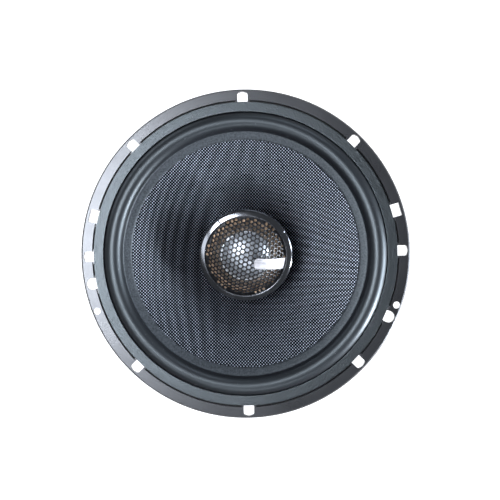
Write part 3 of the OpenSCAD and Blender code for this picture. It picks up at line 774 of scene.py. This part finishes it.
def blend_by_radius(piece, still_r, moving_r, centre=Vector()):
    """Bakes a ring's placement into its points and works out each point's share between two bodies by its
    distance from the centre, in mm; the shares are not used, so the ring doesn't bend.
    """
    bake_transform(piece)
    for vertex in piece.data.vertices:
        t = (still_r - (vertex.co - centre).length / MM) / (still_r - moving_r)
        t = min(max(t, 0), 1)


# ---------------------------- woofer
def cone_z(r):
    return CONE_EDGE_Z - CONE_DEPTH * (1 - ((r - FORMER_R) / (CONE_EDGE_R - FORMER_R)) ** CONE_CURVE)


def make_gasket():
    """Flat ring with its front edges rounded, and a margin that keeps their shading off its face."""
    corners = [(GASKET_INNER_R, GASKET_LOW, 0), (GASKET_OUTER_R, GASKET_LOW, 0), (GASKET_OUTER_R, GASKET_TOP),
               (GASKET_OUTER_R - GASKET_MARGIN, GASKET_TOP, 0),
               (GASKET_INNER_R + GASKET_MARGIN, GASKET_TOP, 0), (GASKET_INNER_R, GASKET_TOP)]
    ring = revolved(filleted(corners, 0.1), 256)
    add_piece("front_gasket_ring", ring, GASKET_RUBBER, "frame", replaces=["front_gasket"])


def make_surround():
    """Half-roll with a flat outer lip under the gasket and an inner lip glued on the cone's edge."""
    centre = (ROLL_R, ROLL_Z)
    root = math.degrees(math.asin((GASKET_LOW - ROLL_Z) / ROLL_SECTION_R))
    outer = arc(centre, ROLL_SECTION_R, root, 180 - root, 36)
    inner = arc(centre, ROLL_SECTION_R - RUBBER_T, 180, 0, 36)
    lip_t = RUBBER_T * 0.9
    glue_t = 0.02
    end_z = cone_z(INNER_LIP_R)
    outer_lip = [(LIP_OUTER_R, LEDGE_Z), (LIP_OUTER_R, GASKET_LOW - 0.01)]
    lip_root = [(CONE_EDGE_R + 0.2, CONE_EDGE_Z + lip_t - 0.04)]
    lip_top = [(r, cone_z(r) + lip_t) for r in (61.0, 60.0, 59.0, 58.2)]
    lip_end = [(INNER_LIP_R + 0.15, end_z + lip_t), (INNER_LIP_R, end_z + lip_t * 0.6),
               (INNER_LIP_R, end_z + glue_t)]
    lip_under = [(r, cone_z(r) + glue_t) for r in (58.6, 60.0, CONE_EDGE_R)]
    profile = outer_lip + outer + lip_root + lip_top + lip_end + lip_under + inner
    profile.append((ROLL_OUTER_R - RUBBER_T, LEDGE_Z))
    piece = add_piece("surround_roll", revolved(profile, 288), [ROLL_RUBBER, LIP_RUBBER], None,
                      replaces=["surround"], sharp_angle=60)
    for face in piece.data.polygons:
        reach = Vector(face.center[:2]).length / MM
        face.material_index = 1 if reach < CONE_EDGE_R + 0.3 else 0
    blend_by_radius(piece, ROLL_OUTER_R, ROLL_R - ROLL_SECTION_R)


def make_cone():
    """Curved skin of even depth, with its points closer together near the neck."""
    steps = 46
    radii = [NECK_R + (CONE_EDGE_R - NECK_R) * (i / steps) ** 1.5 for i in range(steps + 1)]
    front = [(r, cone_z(r)) for r in radii]
    back = [(r, z - CONE_T) for r, z in reversed(front)]
    skin = revolved(front + back, 256)
    add_piece("cone_skin", skin, WOVEN_CONE, "cone_unit", replaces=["cone"])


def make_spider():
    """Corrugated cloth disc glued on the basket's landing."""
    steps = 96
    middle = [(NECK_R, SPIDER_Z)]
    for i in range(steps + 1):
        t = i / steps
        wave = SPIDER_WAVE_H * math.sin(math.tau * SPIDER_WAVES * t)
        middle.append((SPIDER_WAVE_FROM + (SPIDER_WAVE_TO - SPIDER_WAVE_FROM) * t, SPIDER_Z + wave))
    middle.append((SPIDER_EDGE_R, SPIDER_Z))
    upper = [(r, z + SPIDER_T / 2) for r, z in middle]
    lower = [(r, z - SPIDER_T / 2) for r, z in reversed(middle)]
    piece = add_piece("spider_disc", revolved(upper + lower, 192), SPIDER_CLOTH, None,
                      replaces=["spider"], sharp_angle=60)
    centre = Vector((0, 0, SPIDER_Z * MM))
    blend_by_radius(piece, SPIDER_WAVE_TO, SPIDER_WAVE_FROM, centre)


def bead(name, r, z, size, material, body, seed):
    """Uneven adhesive bead laid round a joint, with a section of 12 sides."""
    def wander(angle, ring_r, ring_z):
        ripple = 1 + 0.16 * math.sin(7 * angle + seed) + 0.1 * math.sin(19 * angle + 2 * seed)
        return r + (ring_r - r) * ripple, z + (ring_z - z) * ripple

    add_piece(name, revolved(arc((r, z), size, 0, 330, 11), 160, wander), material, body)


def make_gap_cement_and_painted_shade():
    """Near-black cement in the gap between the gasket and the flange's step: real glue, and painted shade
    that keeps the gap dark.
    """
    inner_r, outer_r, foot_z = LIP_OUTER_R + 0.03, STEP_R - 0.03, LEDGE_Z + 0.02
    corners = [(inner_r, foot_z, 0), (outer_r, foot_z, 0), (outer_r, LEDGE_Z + 0.25, 0.1),
               (inner_r, LEDGE_Z + 0.45, 0.1)]

    def wander(angle, r, z):
        """Two waves in the height of the cement's front face, which leave its foot alone."""
        height = 1 + 0.25 * math.sin(11 * angle) + 0.2 * math.sin(29 * angle + 1) if z > LEDGE_Z + 0.1 else 1
        return r, LEDGE_Z + (z - LEDGE_Z) * height

    def in_slot(point):
        angle, reach = math.atan2(point[1], point[0]), math.hypot(point[0], point[1])
        return any(abs(math.remainder(angle - turn, math.tau)) * reach < SLOT_CLEAR for turn in SLOT_TURNS)

    # The cement's near-black colour is partly painted shade in the gap.
    points, faces = revolved(filleted(corners, 0.05, 2), 256, wander)
    kept = [face for face in faces if not any(in_slot(points[v]) for v in face)]
    add_piece("gap_cement_and_painted_shade", (points, kept), TAR_GLUE, "frame")


make_gasket()
make_gap_cement_and_painted_shade()
make_surround()
make_cone()
make_spider()
bead("spider_adhesive", SPIDER_EDGE_R + 0.2, SPIDER_Z + 0.1, 0.55, AMBER_GLUE, "frame", 1)
bead("neck_adhesive", NECK_R + 0.5, NECK_Z, 0.5, TAR_GLUE, "cone_unit", 2)
bead("spider_neck_adhesive", NECK_R + 0.25, SPIDER_Z + 0.45, 0.45, TAR_GLUE, "cone_unit", 3)
bead("top_plate_adhesive", PLATE_GLUE_R, TOP_PLATE_Z + 0.15, 0.55, TAR_GLUE, "frame", 4)
bead("back_plate_adhesive", PLATE_GLUE_R, MAGNET_Z - 0.15, 0.55, TAR_GLUE, "frame", 5)


# ---------------------------- leads and terminals
def make_leads():
    """The tweeter's two insulated wires, and the two braids from the terminal board to the cone's neck."""
    feed = smooth_route(FEED_ROUTE, 6)
    for name, side, look in (("positive", WIRE_SIDE, RED_WIRE), ("negative", -WIRE_SIDE, BLACK_WIRE)):
        wire = tube(feed, WIRE_R, side, 14)
        add_piece(f"feed_wire_{name}", wire, look, "frame", TERMINAL,
                  replaces=["tweeter_feed_wires"])
    tinsel = smooth_route(TINSEL_ROUTE, 26)

    def braid(length, angle):
        """Two sets of strands that wind round the lead in opposite ways."""
        twist = 3.1 * length
        return 0.93 + 0.09 * abs(math.sin(3 * angle + twist)) * abs(math.cos(3 * angle - twist))

    for name, side in (("positive", TINSEL_SIDE), ("negative", -TINSEL_SIDE)):
        piece = add_piece(f"tinsel_braid_{name}", tube(tinsel, TINSEL_R, side, 18, braid), TINSEL, None,
                          TERMINAL, replaces=[f"tinsel_lead_{name}"])
        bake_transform(piece)


def make_capacitor():
    """Electrolytic can in a shrunk sleeve, with a rolled groove near one end."""
    half = CAPACITOR_L / 2
    mouth_r = CAPACITOR_R - 1.2
    bore_r = CAPACITOR_R - 1.6
    groove = 2.1 - half
    corners = [(mouth_r, -half), (CAPACITOR_R, -half, 0.5), (CAPACITOR_R, groove - 0.5, 0.3),
               (CAPACITOR_R - 0.35, groove, 0.4), (CAPACITOR_R, groove + 0.5, 0.3),
               (CAPACITOR_R, half, 0.5), (mouth_r, half)]
    inner = [(bore_r, half - 0.4), (bore_r, 0.4 - half)]
    place = TERMINAL @ Matrix.Translation(Vector((BOARD_FRONT_R + CAPACITOR_R, 0, CAPACITOR_Z)) * MM)
    place = place @ Matrix.Rotation(math.pi / 2, 4, "X")
    add_piece("capacitor_sleeve", revolved(filleted(corners, 0.15) + inner, 72), SLEEVE, "frame",
              place, replaces=["crossover_capacitor"])
    end = half - 0.25
    plug = [(0, -end), (CAPACITOR_END_R, -end), (CAPACITOR_END_R, end), (0, end)]
    add_piece("capacitor_end_discs", capped(plug, 48), ZINC, "frame", place)


def bar(x, y, z):
    """Box from three (low, high) pairs, as (points, faces)."""
    points = [(a, b, c) for a in x for b in y for c in z]
    faces = [(0, 1, 3, 2), (4, 6, 7, 5), (0, 4, 5, 1), (2, 3, 7, 6), (0, 2, 6, 4), (1, 5, 7, 3)]
    return points, faces


def make_polarity_marks():
    """Raised plus and minus signs beside the blades."""
    depth = (BOARD_FRONT_R, BOARD_FRONT_R + 0.15)
    reach, thin = 0.9, 0.22

    def stroke(side, half_w, half_h):
        return bar(depth, (side - half_w, side + half_w), (MARK_Z - half_h, MARK_Z + half_h))

    plus = joined(stroke(MARK_SIDE, reach, thin), stroke(MARK_SIDE, thin, reach))
    minus = stroke(-MARK_SIDE, reach, thin)
    add_piece("polarity_marks", joined(plus, minus), MARKING, "frame", TERMINAL)


make_leads()
make_capacitor()
make_polarity_marks()


# ---------------------------- tweeter
def make_bezel():
    """Bevelled ring with two fine locating nicks in its front."""
    seat_z = FACE_Z + MESH_T
    wall_top, slope_foot = BEZEL_FRONT_Z - 1.15, BEZEL_FRONT_Z - 0.68
    corners = [(BEZEL_SEAT_R, BEZEL_SKIRT_Z, 0.1), (BEZEL_R, BEZEL_SKIRT_Z, 0.5),
               (BEZEL_R, wall_top, 0.3), (BEZEL_R - 0.75, slope_foot, 0.3),
               (BEZEL_INNER_R + 0.4, BEZEL_FRONT_Z, 0.25), (BEZEL_INNER_R, BEZEL_FRONT_Z - 0.3, 0.2),
               (BEZEL_INNER_R, seat_z, 0.1), (BEZEL_SEAT_R, seat_z, 0.05)]

    def nicked(angle, r, z):
        near = min(abs(angle - turn) for turn in NICK_TURNS)
        return (r, z - NICK_DEPTH) if near < NICK_HALF_TURN and z > BEZEL_FRONT_Z - 1.6 else (r, z)

    add_piece("bezel_ring", revolved(filleted(corners, 0.3, 5), 720, nicked), BLACK_CHROME, "tweeter_head",
              HEAD, replaces=["tweeter_bezel"], sharp_angle=50)


def hole_centres():
    """Centres of the mesh's holes on the flat blank, in staggered rows."""
    centres = []
    reach = int(BLANK_R / HOLE_PITCH) + 2
    for row in range(-reach, reach + 1):
        for column in range(-reach, reach + 1):
            x, y = HOLE_PITCH * (column + row / 2), HOLE_PITCH * row * math.sqrt(3) / 2
            centre = Matrix.Rotation(HOLE_ROW_TURN, 2) @ Vector((x, y))
            if centre.length + HOLE_R < BLANK_DOME_R + HOLE_OVERRUN:
                centres.append(centre)
    return centres


def drawn(flat, depth):
    """Place of a point of the flat blank once the sheet is drawn, depth below its front face."""
    r = flat.length
    direction = flat / r if r > 1e-9 else Vector((0, 0))
    if r <= BLANK_DOME_R:
        angle = r / MESH_SPHERE_R
        radius = MESH_SPHERE_R - MESH_DROP - depth
        out, z = radius * math.sin(angle), MESH_CENTRE_Z + radius * math.cos(angle)
        return (direction.x * out, direction.y * out, max(z, FACE_Z))
    out = MESH_DOME_R + r - BLANK_DOME_R
    return (direction.x * out, direction.y * out, FACE_Z + MESH_T - depth)


def make_mesh_grille():
    """Domed sheet perforated all over with round holes whose edges are slightly rounded.

    The blank is triangulated round its holes. Its front and back faces, the holes' walls and the outer
    edge's wall then join into one closed sheet.
    """
    centres = hole_centres()
    flat = [point for centre in centres for point in circle(centre, HOLE_R + HOLE_ROUNDING, HOLE_SIDES)]
    hole_count = len(flat)
    clear_r = HOLE_R + 0.15
    for ring_r in (BLANK_DOME_R + 0.02, (BLANK_DOME_R + BLANK_R) / 2, BLANK_R):
        ring = circle(Vector((0, 0)), ring_r, RIM_SIDES)
        flat += [point for point in ring if all((point - centre).length > clear_r for centre in centres)]
    starts = range(0, hole_count, HOLE_SIDES)
    edges = [(start + k, start + (k + 1) % HOLE_SIDES) for start in starts for k in range(HOLE_SIDES)]
    verts, _, triangles, _, _, _ = geometry.delaunay_2d_cdt(flat, edges, [], 0, 1e-5)
    sheet = []
    for triangle in triangles:
        holes = {v // HOLE_SIDES if v < hole_count else None for v in triangle}
        if len(holes) > 1 or None in holes:
            sheet.append(tuple(triangle))
    count = len(verts)
    points = [drawn(Vector(v), 0) for v in verts] + [drawn(Vector(v), MESH_T) for v in verts]
    faces = sheet + [tuple(v + count for v in reversed(triangle)) for triangle in sheet]
    for i, centre in enumerate(centres):
        upper = len(points)
        lower = upper + HOLE_SIDES
        wall = circle(centre, HOLE_R, HOLE_SIDES)
        points += [drawn(point, HOLE_ROUNDING_DEPTH) for point in wall]
        points += [drawn(point, MESH_T - HOLE_ROUNDING_DEPTH) for point in wall]
        for k in range(HOLE_SIDES):
            m = (k + 1) % HOLE_SIDES
            a, b = i * HOLE_SIDES + k, i * HOLE_SIDES + m
            faces += [(a, upper + k, upper + m, b), (upper + k, lower + k, lower + m, upper + m),
                      (lower + k, a + count, b + count, lower + m)]
    border = range(len(flat) - RIM_SIDES, len(flat))
    for v, w in zip(border, [*border[1:], border[0]]):
        faces.append((v, w, w + count, v + count))
    add_piece("mesh_grille", (points, faces), LACQUER, "tweeter_head", HEAD,
              replaces=["tweeter_grille"], sharp_angle=60)


def badge_outline(s, t):
    """Point of the badge on the flat, from 0 to 1 along it and from -1 to 1 across it."""
    half = BADGE_W / 2
    y = half * math.sin(t * math.pi / 2)
    into_corner = max(abs(y) - half + BADGE_CORNER_R, 0)
    x_start = BADGE_CORNER_R - math.sqrt(BADGE_CORNER_R**2 - into_corner**2)
    side = Matrix.Rotation(BADGE_TURN, 2) @ Vector((0, y)) + Vector(BADGE_START)
    along_x = Matrix.Rotation(BADGE_TURN, 2) @ Vector((1, 0))
    reach = -side.dot(along_x) + math.sqrt(side.dot(along_x) ** 2 - side.length_squared + BADGE_REACH_R**2)
    return side + along_x * (x_start + (reach - x_start) * s)


def on_dome(flat, height):
    """The point over a flat one that stands height above the mesh's dome."""
    x, y = flat
    z = math.sqrt(BADGE_SEAT_R**2 - x**2 - y**2)
    scale = (BADGE_SEAT_R + height) / BADGE_SEAT_R
    return (x * scale, y * scale, MESH_CENTRE_Z + z * scale)


def make_badge():
    """Blank plate that follows the mesh's dome, with a rounded end and a fine raised border."""
    along, across = 44, 18
    width = across + 1
    face_drop = len(BADGE_EDGE_DROPS) - 1

    def place(i, k, height):
        return on_dome(badge_outline(i / along, 2 * k / across - 1), height)

    points = []
    for i in range(along + 1):
        for k in range(width):
            from_edge = min(i, along - i, k, across - k, face_drop)
            points.append(place(i, k, BADGE_T - BADGE_EDGE_DROPS[from_edge]))
    faces = [(i * width + k, (i + 1) * width + k, (i + 1) * width + k + 1, i * width + k + 1)
             for i in range(along) for k in range(across)]
    border = ([i * width for i in range(along + 1)] + [along * width + k for k in range(1, width)]
              + [i * width + across for i in reversed(range(along))] + [*reversed(range(1, across))])
    base = len(points)
    points += [place(*divmod(v, width), 0) for v in border]
    for n, v in enumerate(border):
        m = (n + 1) % len(border)
        faces.append((v, border[m], base + m, base + n))
    faces.append(tuple(base + n for n in range(len(border))))
    add_piece("badge_plate", (points, faces), BADGE, "tweeter_head", HEAD,
              replaces=["tweeter_badge"], sharp_angle=50)


def make_dome():
    """Foil dome with a small stepped edge."""
    sphere_r = (DOME_R**2 + DOME_H**2) / (2 * DOME_H)
    centre = (0, DOME_Z + DOME_H - sphere_r)
    edge = math.degrees(math.asin((DOME_R - 0.5) / sphere_r))
    outer = arc(centre, sphere_r, 90, 90 - edge, 28)
    foot_z = DOME_Z + 0.02
    step = [(DOME_R - 0.4, DOME_Z + 0.3), (DOME_R + 0.1, DOME_Z + 0.27), (DOME_R + 0.1, foot_z),
            (DOME_R - 0.6, foot_z)]
    inner = arc(centre, sphere_r - FOIL_T, 90 - edge, 90, 28)
    profile = [(0.0, outer[0][1])] + outer[1:] + step + inner[:-1] + [(0.0, inner[-1][1])]
    add_piece("dome_foil", capped(profile, 128), FOIL, "tweeter_diaphragm", HEAD,
              replaces=["tweeter_dome"], sharp_angle=50)


def make_dome_ring():
    """Small half-roll round the dome, with a flat lip on the faceplate."""
    outer = arc(DOME_ROLL_MIDDLE, DOME_ROLL_R, 0, 180, 16)
    inner = arc(DOME_ROLL_MIDDLE, DOME_ROLL_R - DOME_ROLL_T, 180, 0, 16)
    foot_z, lip_z = FACE_Z + 0.02, FACE_Z + 0.25
    root_r = DOME_ROLL_MIDDLE[0] + DOME_ROLL_R - DOME_ROLL_T + 0.02
    profile = [(DOME_LIP_R, foot_z), (DOME_LIP_R, lip_z), (DOME_LIP_R - 0.2, lip_z + 0.05)] + outer
    profile += [(DOME_R + 0.02, FACE_Z + 0.5), (DOME_R + 0.02, lip_z)] + inner + [(root_r, foot_z)]
    piece = add_piece("dome_ring_roll", revolved(profile, 160), DOME_RING, None, HEAD,
                      replaces=["tweeter_dome_surround"], sharp_angle=60)
    centre = HEAD @ Vector((0, 0, FACE_Z * MM))
    blend_by_radius(piece, DOME_RING_STILL_R, DOME_RING_MOVING_R, centre)


def make_faceplate():
    """Bronze ring round the dome's roll, with a shallow turned groove near its edge."""
    groove_z = FACE_Z - 0.25
    corners = [(FACEPLATE_BORE_R, FACEPLATE_LOW, 0.05), (FACEPLATE_R, FACEPLATE_LOW, 0.05),
               (FACEPLATE_R, FACE_Z, 0.05), (20.0, FACE_Z, 0.1), (19.6, groove_z), (18.4, groove_z),
               (18.1, FACE_Z), (FACEPLATE_BORE_R, FACE_Z, 0.15)]
    ring = revolved(filleted(corners, 0.12, 3), 160)
    add_piece("bronze_faceplate", ring, BRONZE, "tweeter_head", HEAD,
              replaces=["tweeter_faceplate"])


make_bezel()
make_mesh_grille()
make_badge()
make_dome()
make_dome_ring()
make_faceplate()


# ---------------------------- stage, lights and camera
def stage_sheet(name, corners, faces, material):
    """One sheet of the plain studio, which isn't part of the speaker."""
    mesh = bpy.data.meshes.new(name)
    mesh.from_pydata(corners, [], faces)
    mesh.materials.append(material)
    sheet = bpy.data.objects.new(name, mesh)
    bpy.context.scene.collection.objects.link(sheet)
    return sheet


def make_floor():
    """Pale sheet under the speaker, bright enough to read as white, and a far round wall.

    The wall only shows behind the speaker in low views, and throws no light on it.
    """
    material, tree, bsdf = shader("floor_sheet", 0.7)
    link(tree, bsdf, Base_Color=ramp(tree, noise(tree, 3, 2), triple(0.3), triple(0.33)))
    bsdf.inputs["Emission Color"].default_value = (1, 1, 1, 1)
    bsdf.inputs["Emission Strength"].default_value = 0.95
    z = cad_box[0].z - FLOOR_GAP
    corners = [(x * FLOOR_REACH, y * FLOOR_REACH, z) for x, y in ((-1, -1), (1, -1), (1, 1), (-1, 1))]
    stage_sheet("floor", corners, [(0, 1, 2, 3)], material)
    ring = [FLOOR_REACH * point for point in circle(Vector((0, 0)), 1, BACKDROP_SIDES)]
    rims = [(x, y, height) for height in (z, z + FLOOR_REACH) for x, y in ring]
    following = [(i + 1) % BACKDROP_SIDES for i in range(BACKDROP_SIDES)]
    faces = [(i, j, j + BACKDROP_SIDES, i + BACKDROP_SIDES) for i, j in enumerate(following)]
    wall = stage_sheet("backdrop", rims, faces, material)
    wall.visible_diffuse = wall.visible_glossy = wall.visible_shadow = False


def area_light(name, off_axis, azimuth, distance, size, power, colour):
    """Rectangular softbox aimed at the speaker; off_axis and azimuth are in degrees."""
    light = bpy.data.lights.new(name, "AREA")
    light.shape = "RECTANGLE"
    light.size, light.size_y = size
    light.energy = power
    light.color = colour
    lamp = bpy.data.objects.new(name, light)
    tilt, turn = math.radians(off_axis), math.radians(azimuth)
    away = Vector((math.sin(tilt) * math.cos(turn), math.sin(tilt) * math.sin(turn), math.cos(tilt)))
    lamp.location = distance * away
    lamp.rotation_euler = away.to_track_quat("Z", "Y").to_euler()
    bpy.context.scene.collection.objects.link(lamp)


def make_lights():
    area_light("left_softbox", 18, 172, 0.95, (0.3, 0.36), 10, COOL)
    area_light("left_side", 38, 212, 0.9, (0.52, 0.19), 2.1, COOL)
    area_light("left_low", 85, 140, 0.9, (0.8, 0.12), 1.8, COOLER)
    area_light("right_strip", 77, -5, 0.9, (0.2, 0.45), 11, COOLER)
    area_light("right_kicker", 81, -27, 0.9, (0.1, 0.28), 18, COOL)
    area_light("top_strip", 62, 70, 0.9, (0.5, 0.2), 1.4, COOLER)
    area_light("low_fill", 46, -88, 0.9, (0.4, 0.2), 2.2, COOL)
    area_light("front_fill", 4, 125, 1.5, (0.35, 0.35), 0.45, COOL)


def make_world():
    world = bpy.data.worlds.new("studio")
    world.use_nodes = True
    background = world.node_tree.nodes["Background"]
    background.inputs["Color"].default_value = (0.85, 0.91, 1, 1)
    background.inputs["Strength"].default_value = 0.08
    bpy.context.scene.world = world


def make_camera():
    """Straight in front of the flange, slightly right of and above its centre."""
    camera = bpy.data.cameras.new("camera")
    camera.lens, camera.sensor_width = LENS, SENSOR
    camera.clip_start = 0.01
    eye = bpy.data.objects.new("camera", camera)
    offset = Matrix.Rotation(CAMERA_ROLL, 3, "Z") @ Vector(CAMERA_OFFSET)
    eye.location = offset + Vector((0, 0, VIEW_PLANE_Z + VIEW_WIDTH * LENS / SENSOR))
    eye.rotation_euler = (0, 0, CAMERA_ROLL)
    bpy.context.scene.collection.objects.link(eye)
    bpy.context.scene.camera = eye


make_floor()
make_lights()
make_world()
make_camera()
bpy.context.scene.view_settings.view_transform = "Standard"
